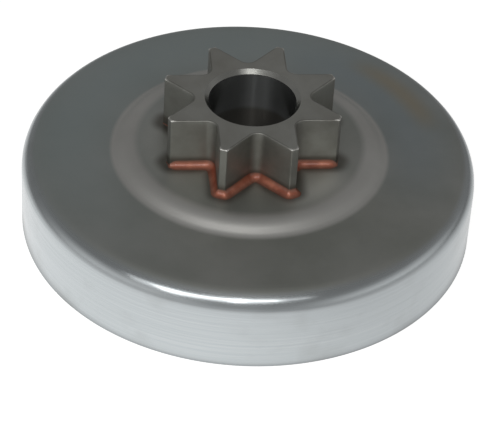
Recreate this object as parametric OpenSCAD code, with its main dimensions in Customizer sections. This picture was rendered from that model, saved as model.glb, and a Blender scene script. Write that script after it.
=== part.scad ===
// Clutch drum with a spur sprocket for a small chainsaw.
// A drawn steel cup carries a machined star-shaped pinion on its closed face, and copper that
// ran into the joint in a furnace holds the two together.
// The drum stands on its open rim. The origin is the rim's centre, and +Z is the axis.

/* [Drum] */
// Outside diameter of the drum
drum_d = 68; // [60:0.5:76]
// Height from the open rim to the flat ring of the closed face
drum_h = 12.7; // [10:0.1:18]
// Thickness of the closed face
face_t = 2; // [1.5:0.1:2.5]
// Thickness of the wall that the clutch shoes rub on
wall_t = 2; // [1.5:0.1:2.5]
// Outside radius where the wall turns into the face
corner_r = 3.1; // [2.5:0.1:4]
// Radius of the inside corner
inner_corner_r = 1.1; // [0.5:0.1:1.5]
// Chamfer on the inside edge of the rim
rim_lead = 0.5; // [0.2:0.1:0.8]
// Chamfer on the outside edge of the rim
rim_break = 0.3; // [0.1:0.1:0.6]

/* [Raised centre] */
// Diameter at the foot of the step round the raised centre
boss_d = 42.2; // [39:0.2:46]
// Height of the raised centre over the flat ring
boss_rise = 1.5; // [1.3:0.1:2]
// Slope of the step, from level
boss_slope = 37; // [28:1:39]
// Rounding at the top of the step, more than the thickness of the face
shoulder_r = 3.3; // [2.8:0.1:3.6]
// Rounding at the foot of the step
foot_r = 2; // [1.4:0.1:2.2]

/* [Sprocket] */
// Number of teeth
teeth = 8; // [7:1:10]
// Diameter over the tooth tips
tip_d = 27.2; // [24:0.2:30]
// Diameter at the bottom of the tooth gaps
root_d = 17.4; // [17:0.1:19]
// Angle between the two flanks of a tooth gap
gap_angle = 90; // [80:1:100]
// Rounding at the bottom of a tooth gap
gap_r = 1.5; // [1.3:0.1:2]
// Height of the teeth above the joint
tooth_h = 8.2; // [6:0.1:12]
// Chamfer round the upper edge of the teeth
tooth_break = 0.3; // [0.1:0.05:0.5]
// Diameter of the bore that runs on the needle bearing
bore_d = 13; // [11:0.1:14]
// Chamfer at both mouths of the bore
bore_chamfer = 0.6; // [0.2:0.1:0.8]

/* [Joint] */
// Diameter of the sprocket's spigot, which centres it in the drum
spigot_d = 16; // [15.4:0.1:16.6]
// How far the spigot stands out inside the drum
spigot_proud = 0.6; // [0.5:0.1:1.2]
// Chamfer on the end of the spigot
spigot_break = 0.15; // [0.05:0.05:0.2]
// Gap between the sprocket and the drum, which the copper fills
braze_gap = 0.1; // [0.05:0.05:0.2]
// Height and width of the copper fillet round the foot of the teeth
fillet_leg = 1.05; // [0.5:0.05:1.2]
// Height and width of the copper fillet round the spigot, inside the drum
inner_leg = 0.35; // [0.2:0.05:0.45]
// Angle at which the copper runs out on the steel
wetting_angle = 12; // [8:1:25]

/* [Hidden] */
$fn = 96;

// Radii that the diameters above give
drum_r = drum_d / 2;
bore_r = bore_d / 2;
spigot_r = spigot_d / 2;
hole_r = spigot_r + braze_gap;
tip_r = tip_d / 2;
root_r = root_d / 2;

// Heights on the axis: top and underside of the raised centre, foot and top of the teeth
boss_z = drum_h + boss_rise;
under_z = boss_z - face_t;
seat_z = boss_z + braze_gap;
top_z = seat_z + tooth_h;
spigot_z = under_z - spigot_proud;

// The step is a straight slope between two arcs that are tangent to it
slope_drop = boss_rise - (shoulder_r + foot_r) * (1 - cos(boss_slope));
shoulder_x = boss_d / 2 - (shoulder_r + foot_r) * sin(boss_slope) - slope_drop / tan(boss_slope);

// A tooth gap lies on +X: two straight flanks, tangent to a rounding at its bottom
flank_angle = gap_angle / 2;
half_pitch = 180 / teeth;
gap_x = root_r + gap_r;
apex_x = gap_x - gap_r / sin(flank_angle);

// Distances along a flank from the point where the two flanks would meet
flank_start = gap_r / tan(flank_angle);
flank_to_tip = sqrt(pow(tip_r, 2) - pow(apex_x * sin(flank_angle), 2)) - apex_x * cos(flank_angle);
flank_to_next = apex_x * sin(half_pitch) / sin(flank_angle - half_pitch);
flank_end = min(flank_to_tip, flank_to_next);

// The first gap is on +X, so the tooth beside it is half a pitch round
gap_turns = [for (i = [0 : teeth - 1]) i * 360 / teeth];

// How far the pool of copper reaches from the star before it is hollowed, past its thin edge
copper_trim = 1.15 * fillet_leg;

// How far a cutting tool runs past the face that it cuts
past = 0.4;

// A rounding is this much larger than its tangent arc, so that it crosses both sides cleanly
lap = 0.0002;

// Square corner that is cut off by a chamfer of this width
module chamfer_cut(width) {
    rotate(45)
    square(width * sqrt(2), center = true);
}

// Waste between a corner and the arc that rounds it, which meets the sides at start and end
module corner_waste(corner, start, end, centre, radius) {
    difference() {
        polygon([centre + 1.3 * (corner - centre), start, end]);
        translate(centre)
        circle(radius + lap);
    }
}

// Half section of everything below one surface of the pressed sheet, which lies the given depth
// under the top surface, so that the arcs of both surfaces share their centres
module below_sheet(radius, height, edge_r, depth) {
    crown = height + boss_rise;
    slope = boss_slope;
    crest_r = shoulder_r - depth;
    dip_r = foot_r + depth;
    shoulder_reach = crest_r * tan(slope / 2);
    foot_reach = dip_r * tan(slope / 2);
    shoulder = [shoulder_x + shoulder_reach, crown];
    foot = [boss_d / 2 - foot_reach, height];
    difference() {
        square([radius, crown]);
        // Air over the flat ring and the slope
        difference() {
            polygon([
                foot,
                shoulder + past * [-1 / tan(slope), 1],
                [radius + past, crown + past],
                [radius + past, height]
            ]);
            corner_waste(
                foot,
                foot + foot_reach * [-cos(slope), sin(slope)],
                foot + [foot_reach, 0],
                foot + [foot_reach, dip_r],
                dip_r
            );
        }
        corner_waste(
            shoulder,
            shoulder - [shoulder_reach, 0],
            shoulder + shoulder_reach * [cos(slope), -sin(slope)],
            shoulder - [shoulder_reach, crest_r],
            crest_r
        );
        corner_waste(
            [radius, height],
            [radius - edge_r, height],
            [radius, height - edge_r],
            [radius - edge_r, height - edge_r],
            edge_r
        );
    }
}

// Cup pressed from sheet: closed face with a raised centre, wall, and a turned rim
module clutch_drum() {
    color("#9b9e9d")
    rotate_extrude()
    difference() {
        below_sheet(drum_r, drum_h, corner_r, 0);
        below_sheet(drum_r - wall_t, drum_h - face_t, inner_corner_r, face_t);
        square([hole_r, boss_z + past]);
        translate([drum_r, 0])
        chamfer_cut(rim_break);
        translate([drum_r - wall_t, 0])
        chamfer_cut(rim_lead);
    }
}

// One tooth gap seen from above, open past the tips, with its walls moved in by inset
module gap_outline(inset = 0) {
    bottom_r = gap_r - inset;
    apex = gap_x - bottom_r / sin(flank_angle);
    start = bottom_r / tan(flank_angle) * [cos(flank_angle), sin(flank_angle)];
    end = tip_r * [cos(flank_angle), sin(flank_angle)];
    translate([gap_x, 0])
    circle(bottom_r);
    translate([apex, 0])
    polygon([start, end, [end.x, -end.y], [start.x, -start.y]]);
}

// The star seen from above
module star_outline() {
    difference() {
        circle(tip_r);
        for (turn = gap_turns)
            rotate(turn)
            gap_outline();
    }
}

// Carries a section round the rounded bottom of a gap, its +X into the steel
module along_root() {
    translate([gap_x, 0, 0])
    rotate(flank_angle + 90)
    rotate_extrude(angle = 180 - gap_angle)
    translate([gap_r, 0])
    children();
}

// Carries a section along a flank as far as the given distance, its +X into the steel
module along_flank(end) {
    translate([apex_x, 0, 0])
    rotate(flank_angle)
    translate([flank_start, 0, 0])
    rotate([90, 0, 90])
    linear_extrude(end - flank_start)
    children();
}

// Section of the cut that breaks an upper edge of the star
module edge_cut_section() {
    polygon([
        [-past, -tooth_break - past],
        [tooth_break + past, past],
        [-past, past]
    ]);
}

// Cut that breaks the upper edge of one tooth gap
module gap_edge_cut() {
    along_root()
    edge_cut_section();
    for (side = [0, 1])
        mirror([0, side, 0])
        along_flank(flank_end + past)
        edge_cut_section();
}

// Cut that breaks the upper edge of the tooth tips
module tip_edge_cut() {
    rotate_extrude()
    translate([tip_r, 0])
    mirror([1, 0])
    edge_cut_section();
}

// Through bore with a chamfer at each mouth
module bore_cut() {
    cone_h = bore_chamfer + past;
    translate([0, 0, spigot_z - past])
    cylinder(r = bore_r, h = top_z - spigot_z + 2 * past);
    translate([0, 0, top_z - bore_chamfer])
    cylinder(r1 = bore_r, r2 = bore_r + cone_h, h = cone_h);
    translate([0, 0, spigot_z - past])
    cylinder(r1 = bore_r + cone_h, r2 = bore_r, h = cone_h);
}

// Turned spigot below the star
module spigot() {
    rotate_extrude()
    difference() {
        translate([0, spigot_z])
        square([spigot_r, seat_z - spigot_z + past]);
        translate([spigot_r, spigot_z])
        chamfer_cut(spigot_break);
    }
}

// Star pinion, machined from one bar with its spigot
module spur_sprocket() {
    color("#7d7c75")
    difference() {
        union() {
            translate([0, 0, seat_z])
            linear_extrude(tooth_h)
            star_outline();
            spigot();
        }
        bore_cut();
        translate([0, 0, top_z]) {
            tip_edge_cut();
            for (turn = gap_turns)
                rotate(turn)
                gap_edge_cut();
        }
    }
}

// Round section of the air that hollows a copper fillet, whose steel corner is the origin
module hollow_section(leg, extra = 0) {
    centre = leg / (1 - tan(wetting_angle));
    translate([centre, centre])
    circle(centre / cos(wetting_angle) + extra);
}

// Air that hollows the fillet in one tooth gap: a round hollow at its bottom, a bar per flank
module gap_hollow() {
    translate([gap_x, 0, 0])
    rotate_extrude()
    intersection() {
        translate([gap_r, 0])
        mirror([1, 0])
        hollow_section(fillet_leg, lap);
        translate([0, -gap_r])
        square([2 * gap_r, 4 * gap_r]);
    }
    for (side = [0, 1])
        mirror([0, side, 0])
        along_flank(flank_end + 2 * copper_trim)
        mirror([1, 0])
        hollow_section(fillet_leg);
}

// Copper that ran under the star and up its foot, before the star is taken out of it
module copper_pool() {
    difference() {
        linear_extrude(copper_trim)
        difference() {
            circle(tip_r + copper_trim);
            for (turn = gap_turns)
                rotate(turn)
                gap_outline(copper_trim);
            circle(spigot_r);
        }
        for (turn = gap_turns)
            rotate(turn)
            gap_hollow();
        rotate_extrude()
        translate([tip_r, 0])
        hollow_section(fillet_leg);
    }
}

// Copper that filled the joint: under the star, round the spigot, and a fillet at both ends
module copper_braze() {
    color("#a9542f") {
        difference() {
            translate([0, 0, boss_z])
            copper_pool();
            translate([0, 0, seat_z])
            linear_extrude(tooth_h)
            star_outline();
        }
        rotate_extrude() {
            translate([spigot_r, under_z])
            square([braze_gap, seat_z - under_z]);
            translate([spigot_r, under_z])
            mirror([0, 1])
            difference() {
                square(inner_leg);
                hollow_section(inner_leg);
            }
        }
    }
}

clutch_drum();
spur_sprocket();
copper_braze();
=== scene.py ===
"""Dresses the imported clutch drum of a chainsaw: drawn steel cup, star sprocket, copper joint.

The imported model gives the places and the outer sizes. Every piece is a closed surface worked out
with numpy, in millimetres, and turned to metres when its mesh is made.
"""

import logging
import math
from dataclasses import dataclass, field
from enum import Enum

import bpy
import numpy as np
from mathutils import Matrix, Quaternion, Vector


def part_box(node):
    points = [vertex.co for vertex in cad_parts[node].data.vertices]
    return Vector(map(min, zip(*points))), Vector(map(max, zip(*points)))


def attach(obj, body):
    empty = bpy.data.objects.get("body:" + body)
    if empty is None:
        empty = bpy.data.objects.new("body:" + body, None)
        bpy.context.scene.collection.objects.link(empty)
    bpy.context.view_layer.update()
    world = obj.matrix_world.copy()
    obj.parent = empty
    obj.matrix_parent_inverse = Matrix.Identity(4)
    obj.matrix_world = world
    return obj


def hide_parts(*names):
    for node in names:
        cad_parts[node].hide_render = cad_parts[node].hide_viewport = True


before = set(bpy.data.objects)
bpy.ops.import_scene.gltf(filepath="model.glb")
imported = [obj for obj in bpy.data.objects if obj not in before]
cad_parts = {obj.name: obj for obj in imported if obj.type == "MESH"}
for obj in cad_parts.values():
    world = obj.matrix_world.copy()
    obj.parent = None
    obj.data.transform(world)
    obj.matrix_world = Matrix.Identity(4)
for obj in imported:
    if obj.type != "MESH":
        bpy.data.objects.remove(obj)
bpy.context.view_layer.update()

log = logging.getLogger("clutch_drum")

MM = 0.001


def linear(colour: str) -> tuple[float, float, float, float]:
    """Turns an sRGB hex colour into the linear values that a shader takes.

    Args:
        colour: Six hex digits after a hash sign.

    Returns:
        Linear red, green, blue and an alpha of one.
    """
    srgb = np.array([int(colour[i:i + 2], 16) for i in (1, 3, 5)]) / 255
    light = np.where(srgb <= 0.04045, srgb / 12.92, ((srgb + 0.055) / 1.055) ** 2.4)
    return (*light.tolist(), 1.0)


def add_node(
    tree: bpy.types.NodeTree, kind: str, feeds: dict | None = None, **settings: object
) -> bpy.types.Node:
    """Adds one node with its settings, and feeds its inputs.

    Args:
        tree: Tree that gets the node.
        kind: Blender's own name of the node type.
        feeds: Socket names or numbers, each with an output to link or a value to set.
        settings: The node's own options, such as an operation.

    Returns:
        The new node.
    """
    node = tree.nodes.new(kind)
    for name, value in settings.items():
        setattr(node, name, value)
    for key, value in (feeds or {}).items():
        if isinstance(value, bpy.types.NodeSocket):
            tree.links.new(value, node.inputs[key])
        else:
            node.inputs[key].default_value = value
    return node


def rounded_path(
    corners: list[tuple[float, float, float]], steps: int = 10
) -> tuple[np.ndarray, np.ndarray]:
    """Rounds the corners of a closed outline.

    Each corner is replaced by an arc of its own radius that is tangent to both of its sides. A point
    of the arc is its centre plus the radius times a direction that turns evenly from the first
    side's normal to the second's.

    Args:
        corners: x, y and rounding radius of each corner, anticlockwise round the solid.
        steps: Number of steps along each arc.

    Returns:
        The points, and at each point the normal that leads out of the solid.
    """
    data = np.array(corners)
    points = data[:, :2]
    into = points - np.roll(points, 1, axis=0)
    into /= np.linalg.norm(into, axis=1)[:, None]
    out = np.roll(into, -1, axis=0)
    start_normal = np.stack([into[:, 1], -into[:, 0]], axis=1)
    turn = np.arctan2(into[:, 0] * out[:, 1] - into[:, 1] * out[:, 0], np.sum(into * out, axis=1))
    radius = data[:, 2] * np.sign(turn)
    reach = data[:, 2] * np.tan(np.abs(turn) / 2)
    centre = points - reach[:, None] * into - radius[:, None] * start_normal
    angle = np.arctan2(start_normal[:, 1], start_normal[:, 0])[:, None]
    angle = angle + turn[:, None] * np.linspace(0, 1, steps + 1)
    normals = np.stack([np.cos(angle), np.sin(angle)], axis=2)
    arcs = centre[:, None, :] + radius[:, None, None] * normals
    return arcs.reshape(-1, 2), normals.reshape(-1, 2)


def refine(points: np.ndarray, normals: np.ndarray, step: float) -> tuple[np.ndarray, np.ndarray, np.ndarray]:
    """Adds points to a closed outline wherever two lie more than a step apart.

    The outline is read as a function of the distance along it, at its own points and at even steps.

    Args:
        points: Points of the outline.
        normals: Normal at each point.
        step: Largest distance between two points.

    Returns:
        The points, their normals, and the distance of each along the outline.
    """
    loop = np.vstack([points, points[:1]])
    turned = np.vstack([normals, normals[:1]])
    distance = np.concatenate([[0], np.cumsum(np.linalg.norm(np.diff(loop, axis=0), axis=1))])
    keep = np.concatenate([np.diff(distance) > 1e-6, [True]])
    loop, turned, distance = loop[keep], turned[keep], distance[keep]
    count = int(np.ceil(distance[-1] / step))
    even = np.linspace(distance[0], distance[-1], count, endpoint=False)
    gap = np.min(np.abs(even[:, None] - distance[None, :]), axis=1)
    along = np.sort(np.concatenate([distance[:-1], even[gap > 0.3 * step]]))
    fine = np.stack([np.interp(along, distance, loop[:, i]) for i in (0, 1)], axis=1)
    fine_normals = np.stack([np.interp(along, distance, turned[:, i]) for i in (0, 1)], axis=1)
    fine_normals /= np.linalg.norm(fine_normals, axis=1)[:, None]
    return fine, fine_normals, along


def ring_mesh(
    name: str, grid: np.ndarray, values: dict["Attribute", np.ndarray], sharp: float = 28
) -> bpy.types.Object:
    """Makes a closed mesh from a grid of points whose rows and columns both run in a ring.

    Point (i, j) is joined to (i + 1, j), (i + 1, j + 1) and (i, j + 1), counted round both rings. The
    sum over the faces of the height times the area seen from above tells which way they point, and
    they are turned over if it is negative.

    Args:
        name: Name of the object and its mesh.
        grid: Places in millimetres, rows by columns by three.
        values: Numbers for each point, rows by columns.
        sharp: Angle in degrees between two faces from which their edge is left sharp.

    Returns:
        The new object, at the origin, in metres.
    """
    rows, columns, _ = grid.shape
    number = np.arange(rows * columns).reshape(rows, columns)
    corners = [
        number,
        np.roll(number, -1, axis=0),
        np.roll(number, (-1, -1), axis=(0, 1)),
        np.roll(number, -1, axis=1),
    ]
    quads = np.stack(corners, axis=2).reshape(-1, 4)
    place = grid.reshape(-1, 3)
    p = place[quads]
    across = np.cross(p[:, 2] - p[:, 0], p[:, 3] - p[:, 1])
    if np.sum(across[:, 2] * p[:, :, 2].mean(axis=1)) < 0:
        quads = quads[:, ::-1]
    mesh = bpy.data.meshes.new(name)
    mesh.vertices.add(len(place))
    mesh.vertices.foreach_set("co", (place * MM).astype(np.float32).ravel())
    mesh.loops.add(quads.size)
    mesh.loops.foreach_set("vertex_index", quads.astype(np.int32).ravel())
    mesh.polygons.add(len(quads))
    mesh.polygons.foreach_set("loop_start", np.arange(0, quads.size, 4, dtype=np.int32))
    mesh.update(calc_edges=True)
    for key, value in values.items():
        layer = mesh.attributes.new(key.value, "FLOAT", "POINT")
        layer.data.foreach_set("value", value.astype(np.float32).ravel())
    mesh.shade_smooth()
    mesh.set_sharp_from_angle(angle=math.radians(sharp))
    mesh.validate()
    made = bpy.data.objects.new(name, mesh)
    bpy.context.scene.collection.objects.link(made)
    return made


def settle(piece: bpy.types.Object, node: str, material: bpy.types.Material) -> None:
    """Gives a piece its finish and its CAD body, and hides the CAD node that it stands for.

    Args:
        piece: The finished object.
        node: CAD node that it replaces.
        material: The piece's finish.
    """
    piece.data.materials.append(material)
    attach(piece, "root")
    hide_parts(node)
    log.info("%s: %d vertices, %s", piece.name, len(piece.data.vertices), material.name)


class Attribute(Enum):
    """Numbers that a mesh carries for its material."""

    PROFILE = "profile_mm"
    OUTLINE = "outline_mm"
    TURNED = "turned"
    DRAWN = "drawn"
    JOINT = "joint_mm"
    WORN = "worn"
    FLANK = "flank"
    BORE = "bore"
    THICK = "thick"

    def read(self, tree: bpy.types.NodeTree) -> bpy.types.NodeSocket:
        """Returns the socket that gives the number in a material."""
        return add_node(tree, "ShaderNodeAttribute", attribute_name=self.value).outputs["Fac"]


def cloud(
    tree: bpy.types.NodeTree, place: bpy.types.NodeSocket, size_mm: float, detail: float = 3.0,
    low: float = 0.35, high: float = 0.65, seed: float = 0.0
) -> bpy.types.NodeSocket:
    """Draws soft clouds of a real size, from zero to one.

    Args:
        tree: Tree that gets the nodes.
        place: Coordinates in metres.
        size_mm: Width of one cloud.
        detail: Number of finer layers.
        low: Noise value that becomes zero.
        high: Noise value that becomes one.
        seed: Picks another pattern of the same kind.

    Returns:
        The socket with the clouds.
    """
    noise = add_node(tree, "ShaderNodeTexNoise", {
        "Vector": place, "W": seed, "Scale": 1 / (size_mm * MM), "Detail": detail},
        noise_dimensions="4D")
    return add_node(tree, "ShaderNodeMapRange", {
        "Value": noise.outputs["Fac"], "From Min": low, "From Max": high}).outputs[0]


@dataclass(frozen=True)
class SteelTone:
    """One state of bare steel: its lighter and darker colour, and how it scatters."""

    light: str
    dark: str
    roughness: float
    uneven: float


@dataclass(frozen=True)
class Look:
    """What a finish feeds to the metal's shader."""

    colour: bpy.types.NodeSocket
    roughness: bpy.types.NodeSocket
    relief: bpy.types.NodeSocket
    grooved: bpy.types.NodeSocket | float = 0.0


class Metal:
    """A bare metal. Each kind has a name, a depth of relief, and paints its own look."""

    name: str = "metal"
    relief_mm: float = 0.01
    # How much of the metal has a thin clear film of oxide, which mirrors more than oil does
    glaze: float = 0.0
    glaze_roughness: float = 0.22
    glaze_ior: float = 2.2

    def paint(self, tree: bpy.types.NodeTree, place: bpy.types.NodeSocket) -> Look:
        """Draws the patterns of the finish.

        Args:
            tree: The material's tree.
            place: Coordinates of the object, in metres.

        Returns:
            The sockets that feed the shader.
        """
        raise NotImplementedError

    def material(self) -> bpy.types.Material:
        """Builds the material: the painted look on a metal that is grooved round the axis or not."""
        made = bpy.data.materials.new(self.name)
        made.use_nodes = True
        tree = made.node_tree
        tree.nodes.clear()
        look = self.paint(tree, add_node(tree, "ShaderNodeTexCoord").outputs["Object"])
        bump = add_node(tree, "ShaderNodeBump", {
            "Height": look.relief, "Distance": self.relief_mm * MM})
        round_axis = add_node(tree, "ShaderNodeTangent", direction_type="RADIAL", axis="Z")
        shader = add_node(tree, "ShaderNodeBsdfPrincipled", {
            "Base Color": look.colour, "Metallic": 1.0, "Roughness": look.roughness,
            "Normal": bump.outputs[0], "Anisotropic": look.grooved, "Anisotropic Rotation": 0.25,
            "Tangent": round_axis.outputs[0], "Coat Weight": self.glaze,
            "Coat Roughness": self.glaze_roughness, "Coat IOR": self.glaze_ior})
        add_node(tree, "ShaderNodeOutputMaterial", {"Surface": shader.outputs[0]})
        return made


@dataclass(frozen=True)
class TintAndPaintedHighlight:
    """A band of colour on one side of a round face, following its edge. Most are tints that the furnace left;
    some are painted highlights.
    """

    colour: str
    angle: float
    spread: float
    radius_mm: float
    width_mm: float
    most: float

    def share(self, tree: bpy.types.NodeTree, place: bpy.types.NodeSocket) -> bpy.types.NodeSocket:
        """Draws where the tint or the painted highlight lies.

        It is a soft step of the angle away from the band's middle, times a soft step of the
        distance from its radius.

        Args:
            tree: The material's tree.
            place: Coordinates of the object, in metres.

        Returns:
            The socket with the band's share, from zero to its most.
        """
        middle = math.radians(self.angle)
        flat = add_node(tree, "ShaderNodeVectorMath", {
            0: place, 1: (1, 1, 0)}, operation="MULTIPLY").outputs[0]
        radius = add_node(tree, "ShaderNodeVectorMath", {0: flat}, operation="LENGTH")
        way = add_node(tree, "ShaderNodeVectorMath", {0: flat}, operation="NORMALIZE")
        facing = add_node(tree, "ShaderNodeVectorMath", {
            0: way.outputs[0], 1: (math.cos(middle), math.sin(middle), 0)},
            operation="DOT_PRODUCT")
        beside = add_node(tree, "ShaderNodeMapRange", {
            "Value": facing.outputs["Value"], "From Min": math.cos(math.radians(self.spread)),
            "From Max": 1.0}, interpolation_type="SMOOTHSTEP")
        off = add_node(tree, "ShaderNodeMath", {
            0: radius.outputs["Value"], 1: self.radius_mm * MM}, operation="SUBTRACT")
        off = add_node(tree, "ShaderNodeMath", {0: off.outputs[0]}, operation="ABSOLUTE")
        band = add_node(tree, "ShaderNodeMapRange", {
            "Value": off.outputs[0], "From Min": 0.0, "From Max": self.width_mm * MM,
            "To Min": self.most, "To Max": 0.0}, interpolation_type="SMOOTHSTEP")
        return add_node(tree, "ShaderNodeMath", {
            0: beside.outputs[0], 1: band.outputs[0]}, operation="MULTIPLY").outputs[0]


@dataclass(frozen=True)
class DrumSteel(Metal):
    """Deep-drawn low-carbon steel that went through a brazing furnace and was turned after it.

    The furnace leaves the closed face dull and dark, blue where it cooled last and straw in a short
    band near the edge. Two pale bands on the raised centre, at the front right and at the left, are
    painted highlights. The step rubbed on the press tool, so it is a little lighter. The wall
    and the rim were turned afterwards, so they are bright, with fine lines round the axis.
    """

    name: str = "drawn_steel_turned_wall"
    relief_mm: float = 0.004
    dull: SteelTone = SteelTone("#b5b6b1", "#a3a59f", 0.50, 0.05)
    rubbed: SteelTone = SteelTone("#d1d0cc", "#c5c4c0", 0.52, 0.03)
    turned: SteelTone = SteelTone("#c5cacc", "#bdc3c5", 0.20, 0.03)
    tints_and_highlights: tuple[TintAndPaintedHighlight, ...] = (
        TintAndPaintedHighlight("#b4c0c1", 125.0, 150.0, 27.0, 16.0, 0.7),
        TintAndPaintedHighlight("#a3b0b8", 22.0, 62.0, 25.0, 10.0, 0.45),
        TintAndPaintedHighlight("#b9a684", 30.0, 24.0, 28.4, 3.0, 0.5),
        # Painted highlights: two pale bands on the raised centre, at the front right and at the left, where
        # it catches the light
        TintAndPaintedHighlight("#dcdcd7", -52.0, 28.0, 14.6, 4.0, 0.8),
        TintAndPaintedHighlight("#cbccc7", -172.0, 45.0, 14.8, 4.0, 0.5),
    )
    halo: str = "#66625a"
    smudge: str = "#a3a6a4"
    smudge_share: float = 0.5
    smudge_mm: float = 9.0
    cloud_mm: float = 13.0
    # The real lines are about 0.1 mm apart: they are drawn coarser, so that they show
    line_mm: float = 0.3
    grain_mm: float = 0.35
    halo_mm: float = 1.5

    def paint(self, tree: bpy.types.NodeTree, place: bpy.types.NodeSocket) -> Look:
        """Draws clouds, tints and painted highlights on the dull steel, and lines round the axis on the
        turned steel.

        Args:
            tree: The material's tree.
            place: Coordinates of the object, in metres.

        Returns:
            The sockets that feed the shader.
        """
        turned = Attribute.TURNED.read(tree)
        clouds = cloud(tree, place, self.cloud_mm, 5.0)
        dull = add_node(tree, "ShaderNodeMix", {
            "Factor": clouds, 6: linear(self.dull.dark), 7: linear(self.dull.light)},
            data_type="RGBA")
        # The furnace tints, then the two painted highlights on the raised centre
        for tint_or_highlight in self.tints_and_highlights:
            dull = add_node(tree, "ShaderNodeMix", {
                "Factor": tint_or_highlight.share(tree, place), 6: dull.outputs[2], 7: linear(tint_or_highlight.colour)},
                data_type="RGBA")
        # Flux and heat leave a dark edge beside the copper
        near = add_node(tree, "ShaderNodeMapRange", {
            "Value": Attribute.JOINT.read(tree), "From Min": 0.5, "From Max": self.halo_mm * 1.6,
            "To Min": 0.8, "To Max": 0.0}, interpolation_type="SMOOTHSTEP")
        dull = add_node(tree, "ShaderNodeMix", {
            "Factor": near.outputs[0], 6: dull.outputs[2], 7: linear(self.halo)}, data_type="RGBA")
        drawn = Attribute.DRAWN.read(tree)
        rubbed = add_node(tree, "ShaderNodeMix", {
            "Factor": clouds, 6: linear(self.rubbed.dark), 7: linear(self.rubbed.light)},
            data_type="RGBA")
        dull = add_node(tree, "ShaderNodeMix", {
            "Factor": drawn, 6: dull.outputs[2], 7: rubbed.outputs[2]}, data_type="RGBA")
        lines = self.lathe_lines(tree, place)
        bright = add_node(tree, "ShaderNodeMix", {
            "Factor": lines, 6: linear(self.turned.dark), 7: linear(self.turned.light)},
            data_type="RGBA")
        # Fingers and oil leave faint darker patches on the bright wall
        smudge = add_node(tree, "ShaderNodeMath", {
            0: cloud(tree, place, self.smudge_mm, 4.0, 0.55, 0.8, 4.0), 1: self.smudge_share},
            operation="MULTIPLY")
        bright = add_node(tree, "ShaderNodeMix", {
            "Factor": smudge.outputs[0], 6: bright.outputs[2], 7: linear(self.smudge)},
            data_type="RGBA")
        colour = add_node(tree, "ShaderNodeMix", {
            "Factor": turned, 6: dull.outputs[2], 7: bright.outputs[2]}, data_type="RGBA")
        rough = [
            add_node(tree, "ShaderNodeMapRange", {
                "Value": share, "To Min": tone.roughness + tone.uneven,
                "To Max": tone.roughness - tone.uneven}).outputs[0]
            for tone, share in (
                (self.dull, clouds), (self.rubbed, clouds), (self.turned, lines))
        ]
        roughness = add_node(tree, "ShaderNodeMix", {
            "Factor": drawn, 2: rough[0], 3: rough[1]}, data_type="FLOAT")
        roughness = add_node(tree, "ShaderNodeMix", {
            "Factor": turned, 2: roughness.outputs[0], 3: rough[2]}, data_type="FLOAT")
        relief = add_node(tree, "ShaderNodeMix", {
            "Factor": turned, 2: cloud(tree, place, self.grain_mm), 3: lines}, data_type="FLOAT")
        grooved = add_node(tree, "ShaderNodeMath", {0: turned, 1: 0.6}, operation="MULTIPLY")
        return Look(colour.outputs[2], roughness.outputs[0], relief.outputs[0], grooved.outputs[0])

    def lathe_lines(
        self, tree: bpy.types.NodeTree, place: bpy.types.NodeSocket
    ) -> bpy.types.NodeSocket:
        """Draws lines round the axis.

        The noise changes fast along the section's length and slowly from side to side.

        Args:
            tree: The material's tree.
            place: Coordinates of the object, in metres.

        Returns:
            The lines, from zero to one.
        """
        flat = add_node(tree, "ShaderNodeVectorMath", {
            0: place, 1: (0.012, 0.012, 0)}, operation="MULTIPLY")
        along = add_node(tree, "ShaderNodeCombineXYZ", {
            "Z": add_node(tree, "ShaderNodeMath", {
                0: Attribute.PROFILE.read(tree), 1: MM}, operation="MULTIPLY").outputs[0]})
        squeezed = add_node(tree, "ShaderNodeVectorMath", {
            0: flat.outputs[0], 1: along.outputs[0]}, operation="ADD")
        return cloud(tree, squeezed.outputs[0], self.line_mm, 3.0, 0.25, 0.75)


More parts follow.
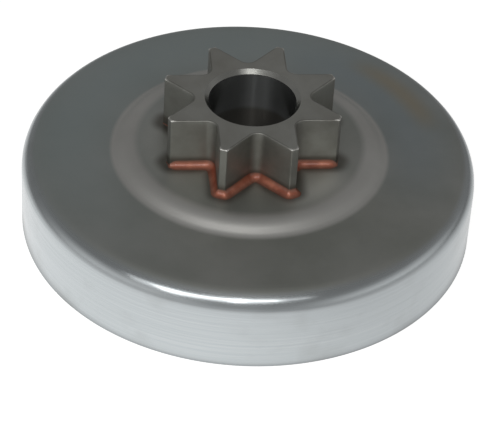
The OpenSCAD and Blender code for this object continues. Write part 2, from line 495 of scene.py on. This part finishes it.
@dataclass(frozen=True)
class SprocketSteel(Metal):
    """Case-hardened steel: dark warm grey, worn brighter on its edges.

    The cutter left fine upright lines on the flanks of the teeth.
    """

    name: str = "hardened_steel_milled"
    relief_mm: float = 0.004
    tone: SteelTone = SteelTone("#b5b5af", "#a6a59e", 0.36, 0.05)
    flank: SteelTone = SteelTone("#999993", "#86857f", 0.52, 0.05)
    # The ground bore is drawn darker than the other steel: painted shade inside the bore
    bore_with_painted_shade: SteelTone = SteelTone("#848685", "#7a7c7b", 0.31, 0.02)
    edge: SteelTone = SteelTone("#efeee8", "#e6e4de", 0.26, 0.03)
    turned: SteelTone = SteelTone("#aeaea9", "#a5a5a0", 0.20, 0.02)
    scale: str = "#5f5a52"
    cloud_mm: float = 5.0
    cut_mm: float = 0.25
    copper_top: float = 15.25
    scale_mm: float = 1.0

    def paint(self, tree: bpy.types.NodeTree, place: bpy.types.NodeSocket) -> Look:
        """Draws clouds, the cutter's lines, bright edges and a dark band over the copper.

        Args:
            tree: The material's tree.
            place: Coordinates of the object, in metres.

        Returns:
            The sockets that feed the shader.
        """
        clouds = cloud(tree, place, self.cloud_mm, 4.0)
        bore, flank = Attribute.BORE.read(tree), Attribute.FLANK.read(tree)
        colour = roughness = None
        # The bore's darker tone is painted shade
        for tone, share in (
            (self.tone, 1.0), (self.flank, flank), (self.bore_with_painted_shade, bore),
            (self.edge, Attribute.WORN.read(tree)), (self.turned, Attribute.TURNED.read(tree))
        ):
            paint = add_node(tree, "ShaderNodeMix", {
                "Factor": clouds, 6: linear(tone.dark), 7: linear(tone.light)}, data_type="RGBA")
            rough = add_node(tree, "ShaderNodeMapRange", {
                "Value": clouds, "To Min": tone.roughness + tone.uneven,
                "To Max": tone.roughness - tone.uneven})
            if colour is None:
                colour, roughness = paint, rough
                continue
            colour = add_node(tree, "ShaderNodeMix", {
                "Factor": share, 6: colour.outputs[2], 7: paint.outputs[2]}, data_type="RGBA")
            roughness = add_node(tree, "ShaderNodeMix", {
                "Factor": share, 2: roughness.outputs[0], 3: rough.outputs[0]}, data_type="FLOAT")
        height = add_node(tree, "ShaderNodeSeparateXYZ", {"Vector": place}).outputs["Z"]
        band = add_node(tree, "ShaderNodeMapRange", {
            "Value": height, "From Min": self.copper_top * MM,
            "From Max": (self.copper_top + self.scale_mm) * MM, "To Min": 0.7, "To Max": 0.0},
            interpolation_type="SMOOTHSTEP")
        colour = add_node(tree, "ShaderNodeMix", {
            "Factor": band.outputs[0], 6: colour.outputs[2], 7: linear(self.scale)},
            data_type="RGBA")
        cut = add_node(tree, "ShaderNodeCombineXYZ", {
            "X": add_node(tree, "ShaderNodeMath", {
                0: Attribute.OUTLINE.read(tree), 1: MM}, operation="MULTIPLY").outputs[0],
            "Z": add_node(tree, "ShaderNodeMath", {
                0: height, 1: 0.05}, operation="MULTIPLY").outputs[0]})
        lines = add_node(tree, "ShaderNodeMath", {
            0: cloud(tree, cut.outputs[0], self.cut_mm, 2.0, 0.25, 0.75), 1: flank},
            operation="MULTIPLY")
        return Look(colour.outputs[2], roughness.outputs[0], lines.outputs[0], bore)


@dataclass(frozen=True)
class BrazeCopper(Metal):
    """Copper that melted in the furnace and set: smooth, salmon, and brown towards its thin edges, partly
    oxide and partly painted shade where it meets the steel.
    """

    name: str = "furnace_copper"
    relief_mm: float = 0.05
    glaze: float = 0.25
    tone: SteelTone = SteelTone("#c27c62", "#a5604a", 0.60, 0.05)
    # Brown of the thin edges: partly oxide, partly painted shade where the copper meets the steel
    thin_oxide_and_shade: str = "#8c6453"
    cloud_mm: float = 1.6

    def paint(self, tree: bpy.types.NodeTree, place: bpy.types.NodeSocket) -> Look:
        """Draws clouds, and darkens the copper to its thin edges, partly as oxide and partly as painted
        shade.

        Args:
            tree: The material's tree.
            place: Coordinates of the object, in metres.

        Returns:
            The sockets that feed the shader.
        """
        clouds = cloud(tree, place, self.cloud_mm)
        colour = add_node(tree, "ShaderNodeMix", {
            "Factor": clouds, 6: linear(self.tone.dark), 7: linear(self.tone.light)},
            data_type="RGBA")
        # Browner towards the thin edges where the copper meets the steel: partly oxide, partly painted shade
        colour = add_node(tree, "ShaderNodeMix", {
            "Factor": Attribute.THICK.read(tree), 6: linear(self.thin_oxide_and_shade), 7: colour.outputs[2]},
            data_type="RGBA")
        rough = add_node(tree, "ShaderNodeMapRange", {
            "Value": clouds, "To Min": self.tone.roughness + self.tone.uneven,
            "To Max": self.tone.roughness - self.tone.uneven})
        return Look(colour.outputs[2], rough.outputs[0], clouds)


@dataclass
class StarOutline:
    """Outline of the star seen from above, with eight gaps, the first of them on +X."""

    teeth: int = 8
    tip_r: float = 13.6
    root_r: float = 8.7
    gap_r: float = 1.5
    flank_angle: float = 45.0
    tip_round: float = 0.25
    step: float = 0.35
    points: np.ndarray = field(init=False)
    normals: np.ndarray = field(init=False)
    along: np.ndarray = field(init=False)
    tips: np.ndarray = field(init=False)

    def __post_init__(self) -> None:
        """Works the outline out once, because the star and the copper both follow it."""
        flank = math.radians(self.flank_angle)
        apex = self.root_r + self.gap_r - self.gap_r / math.sin(flank)
        reach = math.sqrt(self.tip_r ** 2 - (apex * math.sin(flank)) ** 2) - apex * math.cos(flank)
        tip_x, tip_y = apex + reach * math.cos(flank), reach * math.sin(flank)
        gap = np.array([[tip_x, -tip_y], [apex, 0], [tip_x, tip_y]])
        turn = np.arange(self.teeth) * 2 * math.pi / self.teeth
        c, s = np.cos(turn)[:, None], np.sin(turn)[:, None]
        x = c * gap[:, 0] - s * gap[:, 1]
        y = s * gap[:, 0] + c * gap[:, 1]
        radius = np.tile([self.tip_round, self.gap_r, self.tip_round], self.teeth)
        corners = np.stack([x.ravel(), y.ravel(), radius], axis=1)
        points, normals = rounded_path(corners.tolist())
        self.points, self.normals, self.along = refine(points, normals, self.step)
        self.tips = corners[radius == self.tip_round, :2]

    @property
    def angle(self) -> np.ndarray:
        """Angle of each point of the outline round the axis."""
        return np.arctan2(self.points[:, 1], self.points[:, 0])

    def moved(self, inset: np.ndarray | float) -> np.ndarray:
        """Returns the outline moved into the steel by a distance, along its normals."""
        return self.points - np.reshape(inset, (-1, 1)) * self.normals

    def circle(self, radius: float) -> np.ndarray:
        """Returns a circle whose points lie at the same angles as the outline's."""
        return radius * np.stack([np.cos(self.angle), np.sin(self.angle)], axis=1)

    def nearness(self, reach: float) -> np.ndarray:
        """Returns how near each point is to a corner of a tooth, as a bell curve of the distance.

        Args:
            reach: Distance at which the curve has fallen to about a third.

        Returns:
            One at a corner, and nearly zero far from it.
        """
        apart = np.linalg.norm(self.points[:, None, :] - self.tips[None, :, :], axis=2)
        return np.exp(-(np.min(apart, axis=1) / reach) ** 2)

    def distance(self, x: np.ndarray, y: np.ndarray) -> np.ndarray:
        """Returns how far points lie outside the outline, or zero inside it.

        Args:
            x: First coordinates.
            y: Second coordinates, in the same shape.

        Returns:
            The distance to the nearest point of the outline, in the same shape.
        """
        flat = np.stack([x.ravel(), y.ravel()], axis=1)
        apart = flat[:, None, :] - self.points[None, :, :]
        far = np.linalg.norm(apart, axis=2)
        nearest = np.argmin(far, axis=1)
        pick = np.arange(len(flat))
        side = np.sum(apart[pick, nearest] * self.normals[nearest], axis=1)
        return np.where(side > 0, far[pick, nearest], 0).reshape(x.shape)


@dataclass
class ClutchDrum:
    """The drawn cup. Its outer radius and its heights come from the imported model."""

    star: StarOutline
    face_t: float = 2.0
    wall_t: float = 2.0
    corner_r: float = 3.1
    inner_corner_r: float = 1.1
    rim_lead: float = 0.5
    rim_break: float = 0.12
    boss_r: float = 21.1
    boss_rise: float = 1.5
    boss_slope: float = 37.0
    shoulder_r: float = 3.3
    foot_r: float = 2.0
    hole_r: float = 8.1
    edge_r: float = 0.06
    rubbed_width: float = 4.6
    segments: int = 320
    step: float = 0.45

    def surface(self, depth: float, top: float) -> list[tuple[float, float, float]]:
        """Returns the corners of the step in one surface of the sheet, from the axis outwards.

        The arcs of both surfaces share their centres, so the sheet keeps its thickness.

        Args:
            depth: How far the surface lies under the upper one.
            top: Height of the raised centre.

        Returns:
            Radius, height and rounding of the shoulder and of the foot.
        """
        slope = math.radians(self.boss_slope)
        bend = math.tan(slope / 2)
        arcs = (self.shoulder_r + self.foot_r) * bend
        level_end = self.boss_r - self.boss_rise / math.tan(slope) - arcs
        crest, dip = self.shoulder_r - depth, self.foot_r + depth
        return [
            (level_end + crest * bend, top - depth, crest),
            (self.boss_r - dip * bend, top - self.boss_rise - depth, dip),
        ]

    def profile(self) -> list[tuple[float, float, float]]:
        """Returns radius, height and rounding of each corner of the section."""
        low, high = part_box("clutch_drum")
        outer, top = high.x / MM, high.z / MM
        ring = top - self.boss_rise
        inner = outer - self.wall_t
        return [
            (self.hole_r, top - self.face_t, self.edge_r),
            *self.surface(self.face_t, top),
            (inner, ring - self.face_t, self.inner_corner_r),
            (inner, self.rim_lead, self.edge_r),
            (inner + self.rim_lead, 0, self.edge_r),
            (outer - self.rim_break, 0, self.edge_r),
            (outer, self.rim_break, self.edge_r),
            (outer, ring, self.corner_r),
            *self.surface(0, top)[::-1],
            (self.hole_r, top, self.edge_r),
        ]

    def build(self) -> bpy.types.Object:
        """Revolves the section round the axis.

        Point (i, j) lies at radius r(i) and height z(i) of the section, at the angle of step j.

        Returns:
            The drum, with the distance along its section, the share of turned steel and the
            distance from the star at each point.
        """
        section, normals, along = refine(*rounded_path(self.profile(), 8), self.step)
        angle = np.linspace(0, 2 * math.pi, self.segments, endpoint=False)
        x = section[:, :1] * np.cos(angle)
        y = section[:, :1] * np.sin(angle)
        z = np.repeat(section[:, 1:], self.segments, axis=1)
        grid = np.stack([x, y, z], axis=2)
        radius, height = section.T
        outer, top = radius.max(), height.max()
        # The lathe reached the wall, the rim and nearly all of the corner
        edge = np.clip((radius - (outer - self.wall_t)) / 0.8, 0, 1)
        low = np.clip((top - self.boss_rise - 0.05 - height) / 0.25, 0, 1)
        inside = np.isclose(radius, outer - self.wall_t, atol=0.01)
        turned = np.maximum(edge * low, inside)
        # The press tool rubbed the step and a little of the raised centre
        start, end = self.boss_r - self.rubbed_width, self.boss_r
        drawn = np.clip(radius - start, 0, 1) * np.clip((end - radius) / 0.6, 0, 1) * (height > top - 1.6)
        joint = np.full(x.shape, 99.0)
        near = (np.hypot(x, y) < self.boss_r) & (z > top - 0.6)
        joint[near] = self.star.distance(x[near], y[near])
        values = {
            Attribute.PROFILE: np.repeat(along[:, None], self.segments, axis=1),
            Attribute.TURNED: np.repeat(turned[:, None], self.segments, axis=1),
            Attribute.DRAWN: np.repeat(drawn[:, None], self.segments, axis=1),
            Attribute.JOINT: joint,
        }
        return ring_mesh("drawn_drum", grid, values)


@dataclass
class SpurSprocket:
    """The star pinion with its bore and its spigot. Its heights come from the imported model."""

    star: StarOutline
    seat_gap: float = 0.1
    edge_r: float = 0.2
    bore_r: float = 6.5
    bore_chamfer: float = 0.6
    spigot_r: float = 8.0
    spigot_break: float = 0.15
    wall_rows: int = 14
    face_rows: int = 6
    bore_rows: int = 12
    edge_rows: int = 6
    seam: float = 0.05
    polish: float = 0.5

    def build(self) -> bpy.types.Object:
        """Carries a closed profile round the axis, from the star's outline to the bore.

        The rows of the grid are rings of points at one height: the outline moved into the steel,
        or a circle, or a blend of the two across the flat faces.

        Returns:
            The sprocket, with the distance round the outline and the wear at each point.
        """
        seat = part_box("clutch_drum")[1].z / MM + self.seat_gap
        low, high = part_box("spur_sprocket")
        top, end = high.z / MM, low.z / MM
        outline = self.star.moved(0)
        spigot = self.star.circle(self.spigot_r)
        mouth = self.star.circle(self.bore_r + self.bore_chamfer)
        bore = self.star.circle(self.bore_r)
        # Each ring has its points, its height, and what surface it belongs to
        rings = [
            (spigot + share * (outline - spigot), seat, None)
            for share in np.linspace(0, 1, 3, endpoint=False)
        ]
        upright = np.linspace(seat, top - self.edge_r, self.wall_rows)
        rings += [(outline, height, Attribute.FLANK) for height in upright]
        for angle in np.linspace(0, math.pi / 2, self.edge_rows)[1:]:
            inset = self.edge_r * (1 - math.cos(angle))
            height = top - self.edge_r * (1 - math.sin(angle))
            rings.append((self.star.moved(inset), height, Attribute.WORN))
        # A narrow ring beside the rounded edge keeps the flat top's shading flat
        inner_edge = self.star.moved(self.edge_r + self.seam)
        rings.append((inner_edge, top, None))
        beside = self.star.circle(self.bore_r + self.bore_chamfer + self.seam)
        rings += [
            (inner_edge + share * (beside - inner_edge), top, None)
            for share in np.linspace(0, 1, self.face_rows + 1)[1:]
        ]
        rings += [(mouth, top, Attribute.TURNED), (bore, top - self.bore_chamfer, Attribute.TURNED)]
        down = np.linspace(
            top - self.bore_chamfer - self.seam, end + self.bore_chamfer, self.bore_rows)
        rings += [(bore, height, Attribute.BORE) for height in down]
        rings += [
            (mouth, end, None),
            (self.star.circle(self.spigot_r - self.spigot_break), end, None),
            (spigot, end + self.spigot_break, None),
            (spigot, (end + seat) / 2, None),
        ]
        flat = np.array([points for points, _, _ in rings])
        height = np.array([np.full(len(outline), z) for _, z, _ in rings])
        grid = np.concatenate([flat, height[:, :, None]], axis=2)
        values = {
            kind: np.array([np.full(len(outline), surface is kind) for _, _, surface in rings])
            for kind in (Attribute.FLANK, Attribute.WORN, Attribute.BORE, Attribute.TURNED)
        }
        # The long edges are as dull as the flanks, and handling polished the corners of the teeth
        values[Attribute.FLANK] = values[Attribute.FLANK] | values[Attribute.WORN]
        values[Attribute.WORN] = values[Attribute.WORN] * self.star.nearness(self.polish)
        values[Attribute.OUTLINE] = np.repeat(self.star.along[None, :], len(rings), axis=0)
        return ring_mesh("star_sprocket", grid, values)


@dataclass
class CopperBraze:
    """The copper: a film under the star, a sleeve round the spigot and a fillet at each end."""

    star: StarOutline
    leg: float = 1.05
    inner_leg: float = 0.35
    wetting: float = 12.0
    gap: float = 0.1
    spigot_r: float = 8.0
    face_t: float = 2.0
    swell: float = 0.08
    # Angle and width, in degrees, of each place that the copper didn't wet
    dry: tuple[tuple[float, float], ...] = ((163.0, 20.0), (200.5, 4.8), (339.5, 4.8), (302.0, 6.3))
    dry_share: float = 0.93
    steps: int = 10

    def hollow(self, leg: float) -> np.ndarray:
        """Works out the concave side of a fillet.

        It is the arc of a circle that meets both steels at the wetting angle, at one leg from the
        corner. The circle's centre is the leg over one less the tangent of that angle.

        Args:
            leg: Height and width of the fillet.

        Returns:
            Distance from the upright steel and height over the level steel, from top to foot.
        """
        centre = leg / (1 - math.tan(math.radians(self.wetting)))
        radius = centre / math.cos(math.radians(self.wetting))
        angle = np.radians(np.linspace(180 + self.wetting, 270 - self.wetting, self.steps + 1))
        arc = centre + radius * np.stack([np.cos(angle), np.sin(angle)], axis=1)
        return np.maximum(arc, 0)

    def build(self) -> bpy.types.Object:
        """Carries the fillet's section round the star's outline, and closes it under the star.

        The fillet swells where the copper ran together: its size follows a sum of slow sines of
        the angle round the axis, less a flat-topped bell curve at each place that stayed dry.

        Returns:
            The copper, as one closed surface, with its share of full thickness at each point.
        """
        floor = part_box("clutch_drum")[1].z / MM
        seat = floor + self.gap
        under = floor - self.face_t
        angle = self.star.angle
        waves = 0.6 * np.cos(self.star.teeth * angle) + 0.3 * np.sin(5 * angle + 1)
        waves += 0.3 * np.sin(13 * angle)
        middle, width = np.array(self.dry).T
        away = (np.degrees(angle)[:, None] - middle + 180) % 360 - 180
        dry = self.dry_share * np.exp(-(away / width) ** 6).max(axis=1)
        size = (1 + self.swell * waves) * (1 - dry)
        level = np.ones(len(angle))
        wet = 1 - dry / self.dry_share
        thick = np.sin(np.linspace(0, math.pi, self.steps + 1))
        # Each ring has its points, its heights and its thickness
        rings = [
            (self.star.moved(-out * size), floor + up * size, share * wet)
            for (out, up), share in zip(self.hollow(self.leg), thick)
        ]
        sleeve = self.star.circle(self.spigot_r + self.gap)
        rings += [(sleeve, floor * level, level), (sleeve, under * level, level)]
        rings += [
            (self.star.circle(self.spigot_r + out), (under - up) * level, share * level)
            for (out, up), share in zip(self.hollow(self.inner_leg)[::-1], thick)
        ]
        rings += [
            (self.star.circle(self.spigot_r), seat * level, level),
            (self.star.moved(0), seat * level, level),
        ]
        flat, height, full = (np.array(part) for part in zip(*rings))
        grid = np.concatenate([flat, height[:, :, None]], axis=2)
        return ring_mesh("copper_joint", grid, {Attribute.THICK: full}, 60)


@dataclass(frozen=True)
class PhotoCamera:
    """The camera that was fitted to the photograph's outlines. Lengths are in millimetres."""

    azimuth: float = -6.8
    elevation: float = 39.54
    roll: float = 3.70
    distance: float = 374.0
    lens: float = 176.5
    aim_right: float = 0.765
    aim_ahead: float = -1.38

    def build(self) -> None:
        """Places the camera on its line of sight through the point that it is aimed at."""
        a, e, r = (math.radians(x) for x in (self.azimuth, self.elevation, self.roll))
        right = Vector((math.cos(a), math.sin(a), 0))
        ahead = Vector((-math.sin(a), math.cos(a), 0))
        look = math.cos(e) * ahead - math.sin(e) * Vector((0, 0, 1))
        up = right.cross(look)
        turned_right = math.cos(r) * right + math.sin(r) * up
        turned_up = math.cos(r) * up - math.sin(r) * right
        aim = self.aim_right * right + self.aim_ahead * ahead
        turn = Matrix((turned_right, turned_up, -look)).transposed().to_4x4()
        camera = bpy.data.objects.new("camera", bpy.data.cameras.new("camera"))
        camera.matrix_world = Matrix.Translation((aim - look * self.distance) * MM) @ turn
        camera.data.lens = self.lens
        camera.data.clip_start = 0.01
        camera.data.clip_end = 20
        bpy.context.scene.collection.objects.link(camera)
        bpy.context.scene.camera = camera


@dataclass(frozen=True)
class SoftBox:
    """One soft light that faces the object, sized by the angles that it spans as seen from there."""

    name: str
    azimuth: float
    elevation: float
    across: float
    upright: float
    radiance: float
    roll: float = 0.0
    distance: float = 0.7

    def build(self) -> None:
        """Places the light at its angles from the origin and turns it to the object."""
        a, e = math.radians(self.azimuth), math.radians(self.elevation)
        back = Vector((math.sin(a) * math.cos(e), -math.cos(a) * math.cos(e), math.sin(e)))
        data = bpy.data.lights.new(self.name, "AREA")
        data.shape = "RECTANGLE"
        data.size = 2 * self.distance * math.tan(math.radians(self.across / 2))
        data.size_y = 2 * self.distance * math.tan(math.radians(self.upright / 2))
        # A light of this power and area has the wanted radiance
        data.energy = 4 * data.size * data.size_y * self.radiance
        light = bpy.data.objects.new(self.name, data)
        light.location = back * self.distance
        roll = Quaternion((0, 0, 1), math.radians(self.roll))
        light.rotation_euler = (back.to_track_quat("Z", "Y") @ roll).to_euler()
        light.visible_camera = False
        bpy.context.scene.collection.objects.link(light)


@dataclass
class Studio:
    """A white table under soft lights beside the camera, in a dim grey room. Lengths in metres."""

    lights: tuple[SoftBox, ...] = (
        SoftBox("key", -19.5, 42.5, 48.0, 18.0, 1.85, 19.0),
        SoftBox("left_edge", -49.0, 36.0, 22.0, 20.0, 0.6, 20.0),
        SoftBox("right_edge", 18.0, 46.0, 18.0, 18.0, 0.5),
        SoftBox("lamp", -7.5, 43.0, 1.0, 15.0, 26.0, 0.0, 0.65),
    )
    floor_size: float = 6.0
    floor_colour: str = "#e8e8e6"
    floor_glow: float = 0.75
    drum_edge: float = 0.034
    sheet_reach: float = 0.035
    sheet_near: float = 0.60
    sheet_far: float = 0.47
    sheet_behind: float = 0.22
    sheet_under: float = 0.13
    right_share: float = 0.75
    side_room: float = 0.95
    room: float = 0.28

    def build(self) -> None:
        """Builds the floor, the lights and the world."""
        for light in self.lights:
            light.build()
        self.build_floor()
        self.build_world()

    def build_floor(self) -> None:
        """Lays a white floor that still takes the object's shadow.

        To the camera it glows a little, so that it reads as white, and the metal mirrors it as a
        lit white sheet.
        """
        half = self.floor_size / 2
        corners = [(-half, -half, 0), (half, -half, 0), (half, half, 0), (-half, half, 0)]
        mesh = bpy.data.meshes.new("floor")
        mesh.from_pydata(corners, [], [(0, 1, 2, 3)])
        floor = bpy.data.objects.new("floor", mesh)
        bpy.context.scene.collection.objects.link(floor)
        made = bpy.data.materials.new("white_table")
        made.use_nodes = True
        tree = made.node_tree
        tree.nodes.clear()
        path = add_node(tree, "ShaderNodeLightPath")
        seen = add_node(tree, "ShaderNodeMath", {
            0: path.outputs["Is Camera Ray"], 1: path.outputs["Is Transmission Ray"]},
            operation="MAXIMUM")
        glow = add_node(tree, "ShaderNodeMath", {
            0: seen.outputs[0], 1: self.floor_glow}, operation="MULTIPLY")
        white = add_node(tree, "ShaderNodeBsdfDiffuse", {"Color": linear(self.floor_colour)})
        shine = add_node(tree, "ShaderNodeEmission", {"Strength": glow.outputs[0]})
        both = add_node(tree, "ShaderNodeAddShader", {0: white.outputs[0], 1: shine.outputs[0]})
        mirrored = add_node(tree, "ShaderNodeEmission", {"Strength": self.sheet_light(tree)})
        mixed = add_node(tree, "ShaderNodeMixShader", {
            0: path.outputs["Is Glossy Ray"], 1: both.outputs[0], 2: mirrored.outputs[0]})
        add_node(tree, "ShaderNodeOutputMaterial", {"Surface": mixed.outputs[0]})
        mesh.materials.append(made)

    def sheet_light(self, tree: bpy.types.NodeTree) -> bpy.types.NodeSocket:
        """Draws the light of the white sheet as the metal mirrors it.

        It is dark under the drum, brightest beside it, and fades with the square of the distance,
        and also behind the drum and towards the right, away from the lights.

        Args:
            tree: The floor's tree.

        Returns:
            The socket with the radiance.
        """
        place = add_node(tree, "ShaderNodeTexCoord").outputs["Object"]
        radius = add_node(tree, "ShaderNodeVectorMath", {0: place}, operation="LENGTH")
        away = add_node(tree, "ShaderNodeMapRange", {
            "Value": radius.outputs["Value"], "From Min": self.drum_edge,
            "From Max": self.drum_edge + self.sheet_reach}, clamp=False)
        square = add_node(tree, "ShaderNodeMath", {
            0: away.outputs[0], 1: away.outputs[0], 2: 1.0}, operation="MULTIPLY_ADD")
        fade = add_node(tree, "ShaderNodeMath", {
            0: self.sheet_near, 1: square.outputs[0]}, operation="DIVIDE")
        parts = add_node(tree, "ShaderNodeSeparateXYZ", {"Vector": place}).outputs
        far = add_node(tree, "ShaderNodeMapRange", {
            "Value": parts["Y"], "From Min": -0.02, "From Max": 0.05,
            "To Min": self.sheet_far, "To Max": self.sheet_behind},
            interpolation_type="SMOOTHSTEP")
        level = add_node(tree, "ShaderNodeMath", {
            0: fade.outputs[0], 1: far.outputs[0]}, operation="ADD")
        side = add_node(tree, "ShaderNodeMapRange", {
            "Value": parts["X"], "From Min": -0.015, "From Max": 0.03,
            "To Min": 1.0, "To Max": self.right_share}, interpolation_type="SMOOTHSTEP")
        edge = add_node(tree, "ShaderNodeMapRange", {
            "Value": radius.outputs["Value"], "From Min": self.drum_edge - 0.001,
            "From Max": self.drum_edge + 0.001, "To Min": self.sheet_under})
        level = add_node(tree, "ShaderNodeMath", {
            0: level.outputs[0], 1: side.outputs[0]}, operation="MULTIPLY")
        level = add_node(tree, "ShaderNodeMath", {
            0: level.outputs[0], 1: edge.outputs[0]}, operation="MULTIPLY")
        return level.outputs[0]

    def build_world(self) -> None:
        """Makes the room: dim grey, paler low down at both sides, and white to the camera.

        The pale part is a product of three soft steps, of the height, of the distance to the side
        and of the distance behind the object.
        """
        world = bpy.data.worlds.new("room")
        world.use_nodes = True
        tree = world.node_tree
        tree.nodes.clear()
        way = add_node(tree, "ShaderNodeTexCoord").outputs["Generated"]
        parts = add_node(tree, "ShaderNodeSeparateXYZ", {"Vector": way}).outputs
        side = add_node(tree, "ShaderNodeMath", {0: parts["X"]}, operation="ABSOLUTE").outputs[0]
        share = 1.0
        for value, start, end, least in (
            (parts["Z"], 0.6, 0.05, 0.0), (side, 0.2, 0.85, 0.25), (parts["Y"], 0.6, -0.3, 0.0)
        ):
            step = add_node(tree, "ShaderNodeMapRange", {
                "Value": value, "From Min": start, "From Max": end, "To Min": least},
                interpolation_type="SMOOTHSTEP")
            share = add_node(tree, "ShaderNodeMath", {
                0: step.outputs[0], 1: share}, operation="MULTIPLY").outputs[0]
        level = add_node(tree, "ShaderNodeMapRange", {
            "Value": share, "To Min": self.room, "To Max": self.side_room})
        path = add_node(tree, "ShaderNodeLightPath")
        strength = add_node(tree, "ShaderNodeMix", {
            "Factor": path.outputs["Is Camera Ray"], 2: level.outputs[0], 3: 1.0},
            data_type="FLOAT")
        back = add_node(tree, "ShaderNodeBackground", {"Strength": strength.outputs[0]})
        add_node(tree, "ShaderNodeOutputWorld", {"Surface": back.outputs[0]})
        bpy.context.scene.world = world


def main() -> None:
    """Builds the pieces in order, then the studio and the camera."""
    logging.basicConfig(level=logging.INFO, format="%(message)s")
    bpy.context.scene.view_settings.view_transform = "Standard"
    star = StarOutline()
    settle(ClutchDrum(star).build(), "clutch_drum", DrumSteel().material())
    settle(SpurSprocket(star).build(), "spur_sprocket", SprocketSteel().material())
    settle(CopperBraze(star).build(), "copper_braze", BrazeCopper().material())
    Studio().build()
    PhotoCamera().build()


if __name__ == "__main__":
    main()
